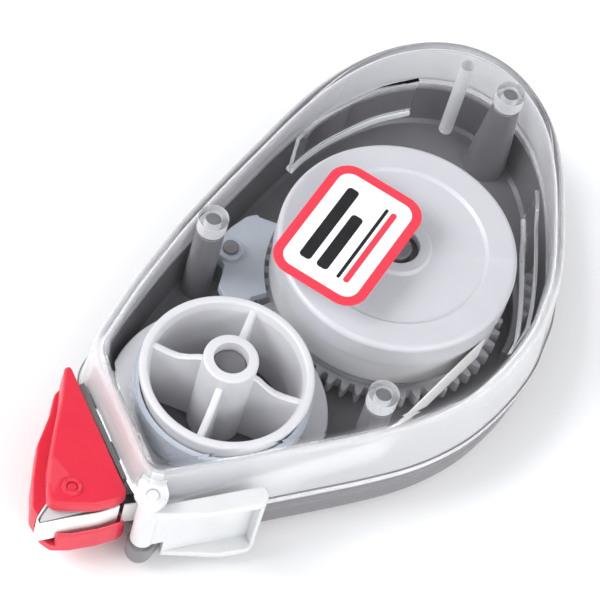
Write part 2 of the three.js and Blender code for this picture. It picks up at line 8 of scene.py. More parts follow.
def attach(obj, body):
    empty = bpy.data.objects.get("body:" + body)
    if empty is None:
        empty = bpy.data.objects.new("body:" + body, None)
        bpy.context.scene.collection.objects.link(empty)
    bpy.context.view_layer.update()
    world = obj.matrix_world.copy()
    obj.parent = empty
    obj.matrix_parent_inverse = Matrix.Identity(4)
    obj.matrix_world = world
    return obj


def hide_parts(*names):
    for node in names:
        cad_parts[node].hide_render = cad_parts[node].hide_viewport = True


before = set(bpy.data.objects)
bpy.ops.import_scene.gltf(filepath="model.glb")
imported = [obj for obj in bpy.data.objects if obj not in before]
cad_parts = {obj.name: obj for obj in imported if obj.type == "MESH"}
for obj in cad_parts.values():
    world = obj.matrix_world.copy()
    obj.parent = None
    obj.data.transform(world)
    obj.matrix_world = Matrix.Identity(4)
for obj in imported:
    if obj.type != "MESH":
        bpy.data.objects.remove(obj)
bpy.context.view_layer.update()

S = 0.001
TX = -28.5                       # take-up axis
SNAPS = [(-17.2, 15.9), (-17.4, -15.1), (26.5, 7.1)]
HINGE = (-48.0, -8.0)
PIVOT = (-53.3, -0.2)
ROLLER = (-45.4, -5.4)
PAWL = (-12.9, 15.3)
scene = bpy.context.scene


# ------------------------------------------------------------------ geometry
def area(p):
    return sum(p[i][0] * p[(i + 1) % len(p)][1] - p[(i + 1) % len(p)][0] * p[i][1] for i in range(len(p))) / 2


def ccw(p):
    return list(reversed(p)) if area(p) < 0 else list(p)


def clean(p, eps=2e-3):
    return [a for i, a in enumerate(p) if math.hypot(a[0] - p[(i + 1) % len(p)][0], a[1] - p[(i + 1) % len(p)][1]) > eps]


def circle(r, n, cx=0, cy=0, phase=0):
    return [(cx + r * math.cos(phase + i / n * math.tau), cy + r * math.sin(phase + i / n * math.tau)) for i in range(n)]


def inset(p, d):
    n, out = len(p), []
    for i in range(n):
        a, q, b = p[i - 1], p[i], p[(i + 1) % n]
        e1, e2 = (q[0] - a[0], q[1] - a[1]), (b[0] - q[0], b[1] - q[1])
        l1, l2 = math.hypot(*e1), math.hypot(*e2)
        n1, n2 = (-e1[1] / l1, e1[0] / l1), (-e2[1] / l2, e2[0] / l2)
        m = (n1[0] + n2[0], n1[1] + n2[1])
        l = math.hypot(*m) or 1
        m = (m[0] / l, m[1] / l)
        c = max(0.45, m[0] * n1[0] + m[1] * n1[1])
        out.append((q[0] + m[0] * d / c, q[1] + m[1] * d / c))
    return out


def even(p, n):
    m, length = len(p), [0]
    for i in range(m):
        q = p[(i + 1) % m]
        length.append(length[i] + math.hypot(p[i][0] - q[0], p[i][1] - q[1]))
    out, i = [], 0
    for k in range(n):
        d = length[m] * k / n
        while length[i + 1] < d:
            i += 1
        f = (d - length[i]) / ((length[i + 1] - length[i]) or 1)
        a, b = p[i], p[(i + 1) % m]
        out.append((a[0] + (b[0] - a[0]) * f, a[1] + (b[1] - a[1]) * f))
    return out


def catmull(ctrl, per=20):
    """Closed centripetal Catmull-Rom curve."""
    n, out = len(ctrl), []
    for i in range(n):
        p0, p1, p2, p3 = ctrl[i - 1], ctrl[i], ctrl[(i + 1) % n], ctrl[(i + 2) % n]
        d = [max(1e-4, math.hypot(b[0] - a[0], b[1] - a[1])) ** 0.5 for a, b in ((p0, p1), (p1, p2), (p2, p3))]
        co = []
        for k in (0, 1):
            x0, x1, x2, x3 = p0[k], p1[k], p2[k], p3[k]
            t1 = ((x1 - x0) / d[0] - (x2 - x0) / (d[0] + d[1]) + (x2 - x1) / d[1]) * d[1]
            t2 = ((x2 - x1) / d[1] - (x3 - x1) / (d[1] + d[2]) + (x3 - x2) / d[2]) * d[1]
            co.append((x1, t1, -3 * x1 + 3 * x2 - 2 * t1 - t2, 2 * x1 - 2 * x2 + t1 + t2))
        for s in range(per):
            t = s / per
            out.append(tuple(c[0] + c[1] * t + c[2] * t * t + c[3] * t ** 3 for c in co))
    return out


def rounded(corners, steps=6):
    out, n = [], len(corners)
    for i in range(n):
        a, p, b = corners[i - 1], corners[i], corners[(i + 1) % n]
        r = p[2] if len(p) > 2 else 0
        if not r:
            out.append((p[0], p[1]))
            continue
        out += corner(a, p, b, r, steps)
    return out


def corner(a, p, b, r, steps):
    u, v = [a[0] - p[0], a[1] - p[1]], [b[0] - p[0], b[1] - p[1]]
    lu, lv = math.hypot(*u), math.hypot(*v)
    u, v = [u[0] / lu, u[1] / lu], [v[0] / lv, v[1] / lv]
    half = math.acos(max(-1, min(1, u[0] * v[0] + u[1] * v[1]))) / 2
    if half > 1.5:
        return [(p[0], p[1])]
    t = min(r / math.tan(half), lu * 0.49, lv * 0.49)
    rr = t * math.tan(half)
    m = (u[0] + v[0], u[1] + v[1])
    lm = math.hypot(*m)
    d = rr / math.sin(half)
    c = (p[0] + m[0] / lm * d, p[1] + m[1] / lm * d)
    s, e = (p[0] + u[0] * t, p[1] + u[1] * t), (p[0] + v[0] * t, p[1] + v[1] * t)
    a0, a1 = math.atan2(s[1] - c[1], s[0] - c[0]), math.atan2(e[1] - c[1], e[0] - c[0])
    while a1 - a0 > math.pi:
        a1 -= math.tau
    while a1 - a0 < -math.pi:
        a1 += math.tau
    return [(c[0] + rr * math.cos(a0 + (a1 - a0) * k / steps), c[1] + rr * math.sin(a0 + (a1 - a0) * k / steps)) for k in range(steps + 1)]


def arc(c, r, a0, a1, steps):
    return [(c[0] + r * math.cos(a0 + (a1 - a0) * k / steps), c[1] + r * math.sin(a0 + (a1 - a0) * k / steps)) for k in range(steps + 1)]


def tangent(c0, r0, c1, r1, side):
    d = (c1[0] - c0[0], c1[1] - c0[1])
    a = math.atan2(d[1], d[0]) + side * math.acos((r0 - r1) / math.hypot(*d))
    return [(c0[0] + r0 * math.cos(a), c0[1] + r0 * math.sin(a)), (c1[0] + r1 * math.cos(a), c1[1] + r1 * math.sin(a))]


def arc_between(c, r, p, q, steps, way):
    a0, a1 = math.atan2(p[1] - c[1], p[0] - c[0]), math.atan2(q[1] - c[1], q[0] - c[0])
    if way > 0:
        while a1 < a0:
            a1 += math.tau
    else:
        while a1 > a0:
            a1 -= math.tau
    return arc(c, r, a0, a1, steps)


def make(name, verts, faces):
    me = bpy.data.meshes.new(name)
    me.from_pydata([(x * S, y * S, z * S) for x, y, z in verts], [], faces)
    me.update()
    bm = bmesh.new()
    bm.from_mesh(me)
    bmesh.ops.remove_doubles(bm, verts=bm.verts, dist=1e-7)
    bmesh.ops.recalc_face_normals(bm, faces=bm.faces)
    bm.to_mesh(me)
    bm.free()
    ob = bpy.data.objects.new(name, me)
    scene.collection.objects.link(ob)
    return ob


def stack(rings, name="s"):
    """Closed body through rings of equal length, [(points, z), ...]; it may turn back on itself to make a shell."""
    n, v, f = len(rings[0][0]), [], []
    for pts, z in rings:
        v += [(p[0], p[1], z) for p in pts]
    for k in range(len(rings) - 1):
        a, b = k * n, (k + 1) * n
        f += [(a + i, a + (i + 1) % n, b + (i + 1) % n, b + i) for i in range(n)]
    f.append(tuple(reversed(range(n))))
    f.append(tuple(range((len(rings) - 1) * n, len(rings) * n)))
    return make(name, v, f)


def prism(pts, z0, z1, r=0.0, steps=3, r1=None, name="p"):
    """Extruded outline with rounded top (r1) and bottom (r) edges."""
    p = clean(ccw(pts))
    r1 = r if r1 is None else r1
    rings = []
    if r:
        rings += [(inset(p, r * (1 - math.sin(k / steps * math.pi / 2))), z0 + r * (1 - math.cos(k / steps * math.pi / 2))) for k in range(steps + 1)]
    else:
        rings.append((p, z0))
    if r1:
        rings += [(inset(p, r1 * (1 - math.cos(k / steps * math.pi / 2))), z1 - r1 * (1 - math.sin(k / steps * math.pi / 2))) for k in range(steps + 1)]
    else:
        rings.append((p, z1))
    return stack(rings, name)


def rod(r, z0, z1, x=0, y=0, n=48, bevel=0.0, name="r"):
    return prism(circle(r, n, x, y), z0, z1, bevel, name=name)


def lathe(profile, n=96, x=0, y=0, name="l", steps=4):
    """Turned body from a profile of (radius, height, corner radius), closed, or from axis to axis."""
    open_ = profile[0][0] < 1e-6
    pts = []
    m = len(profile)
    for i, p in enumerate(profile):
        r = p[2] if len(p) > 2 else 0
        if not r or (open_ and i in (0, m - 1)):
            pts.append((p[0], p[1]))
        else:
            pts += corner(profile[i - 1], p, profile[(i + 1) % m], r, steps)
    v, f, idx = [], [], []
    for r, z in pts:
        if r < 1e-6:
            idx.append([len(v)] * n)
            v.append((x, y, z))
        else:
            idx.append(list(range(len(v), len(v) + n)))
            v += [(x + r * math.cos(k / n * math.tau), y + r * math.sin(k / n * math.tau), z) for k in range(n)]
    pairs = list(zip(idx, idx[1:])) + ([] if open_ else [(idx[-1], idx[0])])
    for a, b in pairs:
        for k in range(n):
            j = (k + 1) % n
            q = [a[k], a[j], b[j], b[k]]
            q = [t for i, t in enumerate(q) if t not in q[:i]]
            if len(q) > 2:
                f.append(tuple(q))
    return make(name, v, f)


def ribbon_outline(path, t):
    L, R = [], []
    for i, p in enumerate(path):
        a, b = path[max(0, i - 1)], path[min(len(path) - 1, i + 1)]
        d = (b[0] - a[0], b[1] - a[1])
        l = math.hypot(*d) or 1
        nx, ny = -d[1] / l * t / 2, d[0] / l * t / 2
        L.append((p[0] + nx, p[1] + ny))
        R.append((p[0] - nx, p[1] - ny))
    return L + R[::-1]


def strip(path, t, z0, z1, rows=1, wave=0.0, name="t"):
    """Thin band on edge along a path, with a slight wave across its width."""
    v, f, n = [], [], len(path)
    out = ribbon_outline(path, t)
    L, R = out[:n], out[n:][::-1]
    for side in (L, R):
        for k in range(rows + 1):
            z = z0 + (z1 - z0) * k / rows
            for i, p in enumerate(side):
                q = (L[i][0] - R[i][0], L[i][1] - R[i][1])
                l = math.hypot(*q) or 1
                w = wave * math.sin(math.pi * k / rows) * math.sin(i * 0.9)
                v.append((p[0] + q[0] / l * w, p[1] + q[1] / l * w, z))
    def at_(s, k, i):
        return s * (rows + 1) * n + k * n + i
    for k in range(rows):
        for i in range(n - 1):
            f.append((at_(0, k, i), at_(0, k, i + 1), at_(0, k + 1, i + 1), at_(0, k + 1, i)))
            f.append((at_(1, k, i), at_(1, k + 1, i), at_(1, k + 1, i + 1), at_(1, k, i + 1)))
        for i in (0, n - 1):
            f.append((at_(0, k, i), at_(0, k + 1, i), at_(1, k + 1, i), at_(1, k, i)))
    for i in range(n - 1):
        for k in (0, rows):
            f.append((at_(0, k, i), at_(1, k, i), at_(1, k, i + 1), at_(0, k, i + 1)))
    return make(name, v, f)


def boolean(a, b, op):
    m = a.modifiers.new("b", "BOOLEAN")
    m.operation, m.object, m.solver = op, b, "MANIFOLD"
    dg = bpy.context.evaluated_depsgraph_get()
    me = bpy.data.meshes.new_from_object(a.evaluated_get(dg))
    if len(me.polygons) < 4:
        m.solver = "EXACT"
        dg = bpy.context.evaluated_depsgraph_get()
        me = bpy.data.meshes.new_from_object(a.evaluated_get(dg))
    a.modifiers.clear()
    a.data = me
    bpy.data.objects.remove(b)
    return a


def add(a, *bs):
    for b in bs:
        a = boolean(a, b, "UNION")
    return a


def cut(a, *bs):
    for b in bs:
        a = boolean(a, b, "DIFFERENCE")
    return a


def finish(ob, name, body, node, mat, angle=32, mats=None):
    ob.name = name
    ob.data.name = name
    index = [p.material_index for p in ob.data.polygons]
    ob.data.materials.clear()
    for m in mats or [mat]:
        ob.data.materials.append(m)
    ob.data.polygons.foreach_set("material_index", index if mats else [0] * len(index))
    ob.data.shade_smooth()
    ob.data.set_sharp_from_angle(angle=math.radians(angle))
    w = ob.modifiers.new("normals", "WEIGHTED_NORMAL")
    w.keep_sharp = True
    w.weight = 60
    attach(ob, body)
    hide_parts(node)
    return ob


# ----------------------------------------------------------------- materials
def nodes_of(name):
    m = bpy.data.materials.new(name)
    m.use_nodes = True
    nt = m.node_tree
    nt.nodes.clear()
    out = nt.nodes.new("ShaderNodeOutputMaterial")
    return m, nt, out


def noise(nt, scale, detail=3.0, rough=0.55, stretch=None):
    tc = nt.nodes.new("ShaderNodeTexCoord")
    src = tc.outputs["Object"]
    if stretch:
        mp = nt.nodes.new("ShaderNodeMapping")
        mp.inputs["Scale"].default_value = stretch
        nt.links.new(src, mp.inputs["Vector"])
        src = mp.outputs["Vector"]
    n = nt.nodes.new("ShaderNodeTexNoise")
    n.inputs["Scale"].default_value = scale
    n.inputs["Detail"].default_value = detail
    n.inputs["Roughness"].default_value = rough
    nt.links.new(src, n.inputs["Vector"])
    return n.outputs["Fac"]


def ranged(nt, src, a, b, lo, hi):
    m = nt.nodes.new("ShaderNodeMapRange")
    for k, v in zip(("From Min", "From Max", "To Min", "To Max"), (a, b, lo, hi)):
        m.inputs[k].default_value = v
    nt.links.new(src, m.inputs["Value"])
    return m.outputs["Result"]


def mixed(nt, fac, c1, c2):
    m = nt.nodes.new("ShaderNodeMix")
    m.data_type = "RGBA"
    nt.links.new(fac, m.inputs["Factor"])
    for key, c in (("A", c1), ("B", c2)):
        s = [i for i in m.inputs if i.name == key and i.type == "RGBA"][0]
        if isinstance(c, tuple):
            s.default_value = (*c[:3], 1)
        else:
            nt.links.new(c, s)
    return [o for o in m.outputs if o.type == "RGBA"][0]


def bumped(nt, src, strength, dist, normal=None):
    b = nt.nodes.new("ShaderNodeBump")
    b.inputs["Strength"].default_value = strength
    b.inputs["Distance"].default_value = dist
    nt.links.new(src, b.inputs["Height"])
    if normal is not None:
        nt.links.new(normal, b.inputs["Normal"])
    return b.outputs["Normal"]


def plastic(name, rgb, rough, var=0.06, rv=0.07, grain=0.25, grain_scale=5200, edge=0.35, sss=0.0, coat=0.0,
            trans=0.0, ior=1.5, spec=0.5, scratches=0.0, dent=0.0, lines=0.0):
    """Moulded plastic: slight colour mottle, uneven gloss, fine grain, convex edges painted lighter as a highlight,
    hairline scratches and tooling lines.
    """
    m, nt, out = nodes_of(name)
    b = nt.nodes.new("ShaderNodeBsdfPrincipled")
    dark = tuple(c * (1 - var) for c in rgb)
    lite = tuple(min(1, c * (1 + var * 0.6)) for c in rgb)
    col = mixed(nt, ranged(nt, noise(nt, 260, 4), 0.35, 0.65, 0, 1), dark, lite)
    # painted highlight: where edge is set, convex edges (high pointiness) are lightened towards white, standing in for
    # light caught on the rims
    if edge:
        g = nt.nodes.new("ShaderNodeNewGeometry")
        edge_highlight = ranged(nt, g.outputs["Pointiness"], 0.53, 0.62, 0, edge)
        col = mixed(nt, edge_highlight, col, tuple(min(1, c * 0.55 + 0.45) for c in rgb))
    nt.links.new(col, b.inputs["Base Color"])
    nt.links.new(ranged(nt, noise(nt, 900, 4), 0.3, 0.7, rough - rv, rough + rv), b.inputs["Roughness"])
    nrm = bumped(nt, noise(nt, grain_scale, 2), grain, 0.00003)
    if dent:
        nrm = bumped(nt, noise(nt, 140, 2), dent, 0.0001, nrm)
    if lines:
        nrm = bumped(nt, noise(nt, 2400, 2, stretch=(0.01, 0.01, 1)), lines, 0.00004, nrm)
    if scratches:
        nrm = bumped(nt, noise(nt, 700, 2, stretch=(1, 14, 1)), scratches, 0.00002, nrm)
    nt.links.new(nrm, b.inputs["Normal"])
    b.inputs["IOR"].default_value = ior
    b.inputs["Specular IOR Level"].default_value = spec
    b.inputs["Subsurface Weight"].default_value = sss
    b.inputs["Subsurface Radius"].default_value = (0.0012, 0.0011, 0.001)
    b.inputs["Subsurface Scale"].default_value = 1.0
    b.inputs["Coat Weight"].default_value = coat
    b.inputs["Coat Roughness"].default_value = 0.12
    b.inputs["Transmission Weight"].default_value = trans
    nt.links.new(b.outputs[0], out.inputs["Surface"])
    return m


def let_light(nt, shader, out, tint):
    """Lamps and diffuse light pass straight through, so that what is behind the plastic is lit."""
    lp = nt.nodes.new("ShaderNodeLightPath")
    mx = nt.nodes.new("ShaderNodeMath")
    mx.operation = "MAXIMUM"
    nt.links.new(lp.outputs["Is Shadow Ray"], mx.inputs[0])
    nt.links.new(lp.outputs["Is Diffuse Ray"], mx.inputs[1])
    t = nt.nodes.new("ShaderNodeBsdfTransparent")
    t.inputs["Color"].default_value = (*tint, 1)
    mix = nt.nodes.new("ShaderNodeMixShader")
    nt.links.new(mx.outputs[0], mix.inputs[0])
    nt.links.new(shader, mix.inputs[1])
    nt.links.new(t.outputs[0], mix.inputs[2])
    nt.links.new(mix.outputs[0], out.inputs["Surface"])


def clear_plastic(name, wall):
    m, nt, out = nodes_of(name)
    b = nt.nodes.new("ShaderNodeBsdfPrincipled")
    b.inputs["Base Color"].default_value = (0.985, 0.987, 0.99, 1)
    b.inputs["Transmission Weight"].default_value = 1.0
    b.inputs["IOR"].default_value = 1.47
    nt.links.new(ranged(nt, noise(nt, 420, 4), 0.35, 0.75, 0.01, 0.04), b.inputs["Roughness"])
    nt.links.new(bumped(nt, noise(nt, 60, 1), 0.06, 0.0001), b.inputs["Normal"])
    last = b.outputs[0]
    if wall:
        # the side walls are finely textured and scatter light
        w = nt.nodes.new("ShaderNodeBsdfPrincipled")
        w.inputs["Base Color"].default_value = (0.80, 0.805, 0.82, 1)
        w.inputs["Transmission Weight"].default_value = 0.5
        w.inputs["IOR"].default_value = 1.47
        nt.links.new(ranged(nt, noise(nt, 1400, 3), 0.3, 0.7, 0.20, 0.26), w.inputs["Roughness"])
        nt.links.new(bumped(nt, noise(nt, 2400, 2, stretch=(0.02, 0.02, 1)), 0.10, 0.00003), w.inputs["Normal"])
        g = nt.nodes.new("ShaderNodeNewGeometry")
        sx = nt.nodes.new("ShaderNodeSeparateXYZ")
        nt.links.new(g.outputs["True Normal"], sx.inputs[0])
        ab = nt.nodes.new("ShaderNodeMath")
        ab.operation = "ABSOLUTE"
        nt.links.new(sx.outputs["Z"], ab.inputs[0])
        mix = nt.nodes.new("ShaderNodeMixShader")
        nt.links.new(ranged(nt, ab.outputs[0], 0.35, 0.8, 0.7, 0.0), mix.inputs[0])
        nt.links.new(b.outputs[0], mix.inputs[1])
        nt.links.new(w.outputs[0], mix.inputs[2])
        last = mix.outputs[0]
    let_light(nt, last, out, (0.93, 0.93, 0.94))
    return m


def frosted(name, rgb=(0.93, 0.94, 0.95), trans=0.45, rough=0.34, tint=(0.7, 0.71, 0.72)):
    m, nt, out = nodes_of(name)
    b = nt.nodes.new("ShaderNodeBsdfPrincipled")
    col = mixed(nt, noise(nt, 300, 3), tuple(c * 0.95 for c in rgb), rgb)
    nt.links.new(col, b.inputs["Base Color"])
    b.inputs["Transmission Weight"].default_value = trans
    b.inputs["IOR"].default_value = 1.49
    nt.links.new(ranged(nt, noise(nt, 1200, 3), 0.3, 0.7, rough - 0.08, rough + 0.08), b.inputs["Roughness"])
    nt.links.new(bumped(nt, noise(nt, 2600, 2), 0.08, 0.00003), b.inputs["Normal"])
    let_light(nt, b.outputs[0], out, tint)
    return m


def metal(name):
    m, nt, out = nodes_of(name)
    b = nt.nodes.new("ShaderNodeBsdfPrincipled")
    nt.links.new(mixed(nt, noise(nt, 700, 3), (0.55, 0.56, 0.58), (0.72, 0.73, 0.75)), b.inputs["Base Color"])
    b.inputs["Metallic"].default_value = 1.0
    nt.links.new(ranged(nt, noise(nt, 2500, 3, stretch=(1, 1, 12)), 0.3, 0.7, 0.22, 0.4), b.inputs["Roughness"])
    nt.links.new(bumped(nt, noise(nt, 2500, 2, stretch=(1, 1, 12)), 0.3, 0.00002), b.inputs["Normal"])
    nt.links.new(b.outputs[0], out.inputs["Surface"])
    return m


def wound(name, c1, c2, rough, cx=0.0, cy=0.0):
    """Tape or film wound on a spool: fine layers across the radius."""
    m, nt, out = nodes_of(name)
    b = nt.nodes.new("ShaderNodeBsdfPrincipled")
    tc = nt.nodes.new("ShaderNodeTexCoord")
    mp = nt.nodes.new("ShaderNodeMapping")
    mp.inputs["Location"].default_value = (-cx * S, -cy * S, 0)
    mp.inputs["Scale"].default_value = (1, 1, 0)
    nt.links.new(tc.outputs["Object"], mp.inputs["Vector"])
    ln = nt.nodes.new("ShaderNodeVectorMath")
    ln.operation = "LENGTH"
    nt.links.new(mp.outputs[0], ln.inputs[0])
    n = nt.nodes.new("ShaderNodeTexNoise")
    n.noise_dimensions = "1D"
    n.inputs["Scale"].default_value = 6500
    n.inputs["Detail"].default_value = 2
    nt.links.new(ln.outputs["Value"], n.inputs["W"])
    nt.links.new(mixed(nt, ranged(nt, n.outputs["Fac"], 0.3, 0.7, 0, 1), c1, c2), b.inputs["Base Color"])
    nt.links.new(ranged(nt, noise(nt, 800, 3), 0.3, 0.7, rough - 0.06, rough + 0.06), b.inputs["Roughness"])
    nt.links.new(bumped(nt, n.outputs["Fac"], 0.3, 0.00004), b.inputs["Normal"])
    nt.links.new(b.outputs[0], out.inputs["Surface"])
    return m


M_CLEAR = clear_plastic("clear_plastic", True)
M_CLEARIN = clear_plastic("clear_plastic_inner", False)
M_TRAY = plastic("smoke_plastic", (0.175, 0.170, 0.180), 0.34, var=0.03, rv=0.04, edge=0.10, grain=0.08, lines=0.22)
M_WHITE = plastic("white_plastic", (0.74, 0.74, 0.755), 0.36, var=0.015, rv=0.04, grain=0.1, edge=0.1, sss=0.08)
M_REEL = plastic("reel_plastic", (0.64, 0.64, 0.665), 0.34, var=0.02, rv=0.04, grain=0.1, edge=0.12, sss=0.06)
# painted shade: the gear plastic is made darker than the reel plastic to stand in for the shadow under the reel
M_GEAR_PAINTED_SHADE = plastic("gear_plastic_painted_shade", (0.42, 0.42, 0.44), 0.38, var=0.03, rv=0.04, grain=0.1, edge=0.3)
M_RED = plastic("red_plastic", (0.64, 0.026, 0.052), 0.38, var=0.03, rv=0.04, grain=0.12, edge=0.06, sss=0.06, spec=0.4)
M_DARK = plastic("dark_plastic", (0.022, 0.021, 0.024), 0.42, var=0.15, edge=0.2)
M_GREYPIN = plastic("grey_plastic", (0.22, 0.215, 0.20), 0.40, var=0.08, edge=0.2)
M_FROST = frosted("frosted_plastic")
M_PAWL = frosted("pawl_plastic", (0.62, 0.66, 0.72), 0.35, 0.36)
M_CAP = plastic("milky_plastic", (0.64, 0.65, 0.655), 0.34, var=0.03, rv=0.05, grain=0.06, edge=0.0, sss=0.3)
M_STEEL = metal("spring_steel")
M_TAPE = plastic("tape_white", (0.88, 0.87, 0.85), 0.62, var=0.03, edge=0.0, grain=0.4, grain_scale=9000, scratches=0.3)
M_ROLL = wound("tape_layers", (0.60, 0.60, 0.60), (0.86, 0.86, 0.85), 0.6)
M_FILM = plastic("release_film", (0.55, 0.60, 0.66), 0.25, var=0.05, edge=0.0, grain=0.15)
M_FILMROLL = wound("film_layers", (0.42, 0.46, 0.52), (0.66, 0.70, 0.76), 0.3, TX, 0)
M_LABEL = plastic("label_white", (0.90, 0.90, 0.895), 0.42, var=0.02, edge=0.0, grain=0.3, grain_scale=7000)
M_LABELRED = plastic("label_red", (0.78, 0.045, 0.075), 0.38, var=0.04, edge=0.0, grain=0.3, grain_scale=7000)
M_LABELDARK = plastic("label_dark", (0.014, 0.014, 0.016), 0.40, var=0.1, edge=0.0, grain=0.3, grain_scale=7000)

# ------------------------------------------------------------- case outline
EDGE = rounded([
    (-40.4, 11.9, 3.2), (-42.2, 9.0, 4.0), (-47.7, -6.6, 2.6), (-42.4, -9.17), (-38.0, -11.3), (-29.8, -15.2),
    (-26.3, -16.85), (-21.8, -18.9), (-16.9, -20.85), (-12.7, -21.95), (-8.3, -22.5), (-3.6, -22.3), (0.9, -21.6),
    (5.4, -20.3), (11.2, -17.3), (15.6, -13.8), (19.9, -9.6), (23.3, -6.0), (26.1, -2.4), (28.1, 1.1), (29.3, 4.8),
    (29.75, 8.6), (29.2, 12.2), (27.6, 15.6), (25.0, 18.4), (21.6, 20.6), (17.2, 22.2), (12.2, 23.0), (6.6, 23.0),
    (0.9, 22.35), (-5.0, 21.3), (-11.2, 20.2), (-16.5, 19.15), (-21.6, 18.0), (-27.3, 16.4), (-31.9, 15.0), (-36.4, 13.35),
], 4)
knots = []
for i, p in enumerate(EDGE):
    q = EDGE[(i + 1) % len(EDGE)]
    knots.append(p)
    if math.hypot(p[0] - q[0], p[1] - q[1]) > 6:
        knots.append(((p[0] + q[0]) / 2, (p[1] + q[1]) / 2))
OUT = ccw(even(catmull(knots), 380))


def soften(p, rounds):
    for _ in range(rounds):
        p = [((p[i - 1][0] + 2 * p[i][0] + p[(i + 1) % len(p)][0]) / 4, (p[i - 1][1] + 2 * p[i][1] + p[(i + 1) % len(p)][1]) / 4) for i in range(len(p))]
    return p


OUT = soften(OUT, 6)
at = lambda d: inset(OUT, d)
NF = lambda s, t: (-46.2 + 0.3105 * s - 0.9505 * t, 1.4 + 0.9505 * s + 0.3105 * t)
mouth = lambda: prism([(-50.6, -12.0), (-43.4, -10.2), (-42.9, -0.7), (-50.6, -0.7)], 5.8, 11.8)
window_ = lambda: prism([NF(1.1, -5), NF(5.8, -5), NF(5.8, 1), NF(1.1, 1)], 5.9, 11.5)
notch = lambda: rod(2.0, 5.6, 14.95, *HINGE)

# ---------------------------------------------------------------------- tray
tray = stack([(at(d), z) for d, z in [
    (1.30, 0.0), (1.02, 0.05), (0.76, 0.16), (0.50, 0.35), (0.22, 0.66), (-0.02, 1.05), (-0.26, 1.55), (-0.45, 2.1),
    (-0.56, 3.0), (-0.72, 4.6), (-0.80, 5.45), (-0.68, 5.55), (-0.70, 5.85), (-0.86, 5.95), (-0.96, 7.0), (-1.0, 7.30),
    (-0.94, 7.44), (-0.80, 7.50), (0.10, 7.50), (0.28, 7.44), (0.36, 7.30), (0.9, 2.4), (1.1, 1.75), (1.6, 1.35), (2.2, 1.3)]])
tray = cut(tray, rod(13.99, 1.9, 5.9, TX, 0, 128))
tray = add(tray,
    lathe([(0, 1.5), (0.9, 1.6, 0.3), (1.45, 2.0, 0.5), (1.7, 2.8, 0.8), (1.7, 5.3, 0.15), (0, 5.3)], 48, *HINGE),
    prism([(-48.4, -6.6), (-45.9, -5.6), (-44.2, -9.0), (-47.4, -9.3)], 2.0, 5.3, 0.15))
tray = cut(tray, mouth(), window_(), notch(), rod(0.85, 3.2, 6.2, *HINGE))
tray = add(tray,
    lathe([(0, 0.6), (3.4, 0.6), (3.4, 1.95, 0.2), (1.9, 1.95, 0.2), (1.9, 15.0, 0.35), (0, 15.0)], 64),
    lathe([(0, 0.6), (3.4, 0.6), (3.4, 1.95, 0.2), (2.1, 1.95, 0.2), (2.1, 15.4, 0.4), (0, 15.4)], 64, TX, 0))
for i, (x, y) in enumerate(SNAPS):
    foot = (2.8, 2.4, 1.75) if i == 2 else (1.9, 1.85, 1.8)
    tray = add(tray, lathe([(0, 0.6), (foot[0], 0.6), (foot[1], 7.35), (foot[2], 14.9, 0.2), (1.0, 14.9, 0.1), (1.0, 17.2, 0.3), (0, 17.2)], 48, x, y))
tray = add(tray,
    lathe([(0, 0.6), (1.7, 0.6), (1.7, 4.95, 0.15), (1.0, 4.95), (1.0, 7.9, 0.25), (0, 7.9)], 40, *PAWL),
    lathe([(0, 0.6), (1.5, 0.6), (1.5, 5.7, 0.2), (0.6, 5.7), (0.6, 11.6, 0.15), (0, 11.6)], 32, *ROLLER),
    prism(ribbon_outline(arc((0, 0), 18.2, 0.42, 1.25, 40), 0.9), 0.7, 4.6, 0.0, r1=0.2),
    prism(ribbon_outline(arc((0, 0), 17.4, -1.2, -0.35, 40), 0.9), 0.7, 4.6, 0.0, r1=0.2))
finish(tray, "smoke_tray", "case", "base_shell", M_TRAY)

# --------------------------------------------------------------------- cover
cover = stack([(at(d), z) for d, z in [
    (1.95, 17.55), (1.60, 17.55), (1.36, 17.48), (1.17, 17.32), (1.08, 17.10), (1.04, 16.8), (0.72, 12.0), (0.36, 7.95),
    (0.30, 7.84), (0.18, 7.80), (-0.95, 7.80), (-1.06, 7.84), (-1.10, 7.95), (-1.10, 8.82), (-1.04, 8.95), (-0.84, 9.02), (-0.78, 9.2),
    (-0.55, 11.6), (-0.30, 14.3), (-0.05, 16.9), (0.03, 17.45), (0.18, 17.95), (0.40, 18.32), (0.70, 18.58), (1.05, 18.71), (1.45, 18.75)]])
for x, y in SNAPS:
    cover = add(cover, lathe([(1.06, 15.3, 0.1), (1.9, 15.3, 0.2), (1.9, 18.15), (1.06, 18.15)], 56, x, y))
fin = lambda pts, z: prism(ribbon_outline(pts, 0.5), z, 18.15, 0.1, r1=0.0)
bead = lambda pts, z: prism(ribbon_outline(pts, 0.95), z, z + 1.2, 0.35)
far = [(-0.7, 18.3), (1.8, 18.7), (5.2, 18.75), (8.8, 18.4), (13.6, 17.55), (18.2, 15.8)]
near = [(18.7, -5.5), (17.1, -7.15), (14.8, -9.2), (12.0, -12.0), (9.0, -14.8), (6.1, -17.2), (3.3, -19.2)]


def fine(ctrl, per=6):
    """Open smooth curve through the points."""
    pts = [(2 * ctrl[0][0] - ctrl[1][0], 2 * ctrl[0][1] - ctrl[1][1])] + list(ctrl) + [(2 * ctrl[-1][0] - ctrl[-2][0], 2 * ctrl[-1][1] - ctrl[-2][1])]
    out = []
    for i in range(1, len(pts) - 2):
        for s in range(per):
            t = s / per
            out.append(tuple(0.5 * (2 * pts[i][k] + (pts[i + 1][k] - pts[i - 1][k]) * t
                                    + (2 * pts[i - 1][k] - 5 * pts[i][k] + 4 * pts[i + 1][k] - pts[i + 2][k]) * t * t
                                    + (3 * pts[i][k] - pts[i - 1][k] - 3 * pts[i + 1][k] + pts[i + 2][k]) * t ** 3) for k in (0, 1)))
    return out + [tuple(ctrl[-1])]


